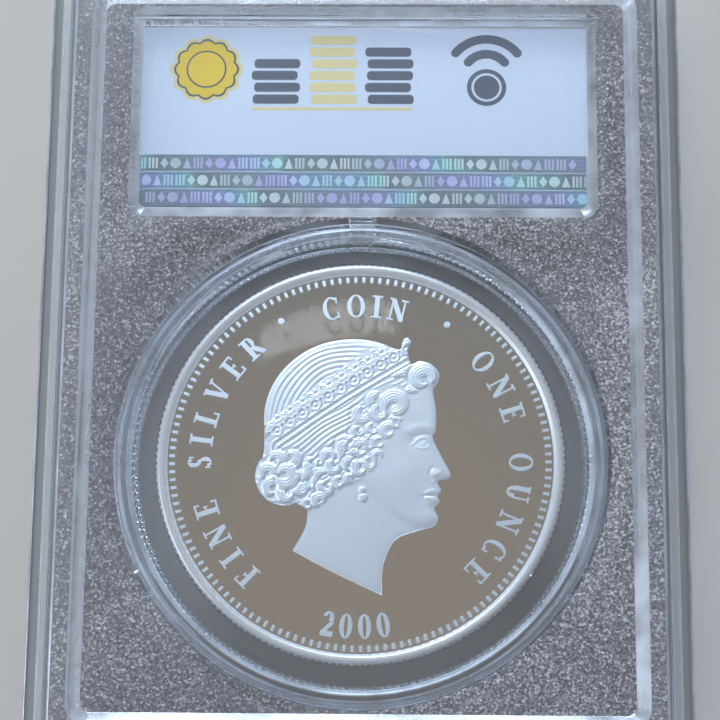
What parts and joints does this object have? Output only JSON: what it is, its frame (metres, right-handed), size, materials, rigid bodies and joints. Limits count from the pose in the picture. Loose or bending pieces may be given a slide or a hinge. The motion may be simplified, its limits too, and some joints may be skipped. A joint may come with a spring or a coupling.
{
  "type": "graded coin slab",
  "caption": "Sealed clear holder of two welded shells around a silver proof coin in a clear gasket ring, with a printed label and contactless tag above it.",
  "frame": {"origin": "middle of the footprint, on the plane that the slab rests on", "axes": "+X across the slab, +Y towards the label end, +Z towards the rear face with the raised frame"},
  "size_m": [0.0636, 0.086, 0.008],
  "materials": {
    "clear_shell": "clear polystyrene, moulded: polished windows, sand-grain panels and frame",
    "clear_gasket": "clear moulded ring, polished",
    "silver": "struck fine silver: mirror fields, frosted relief",
    "card": "coated printed card, pale blue white",
    "foil": "embossed iridescent security foil",
    "film": "thin polyester film",
    "antenna": "etched foil",
    "chip": "bare chip",
    "adhesive": "double-sided adhesive sheet"
  },
  "bodies": {
    "root": {"front_shell": "clear_shell", "rear_shell": "clear_shell", "coin_gasket": "clear_gasket", "coin": "silver", "label_front_card": "card", "label_rear_card": "card", "security_strip": "foil", "tag_film": "film", "tag_antenna": "antenna", "tag_bridge": "antenna", "tag_chip": "chip", "tag_adhesive": "adhesive"}
  },
  "joints": []
}
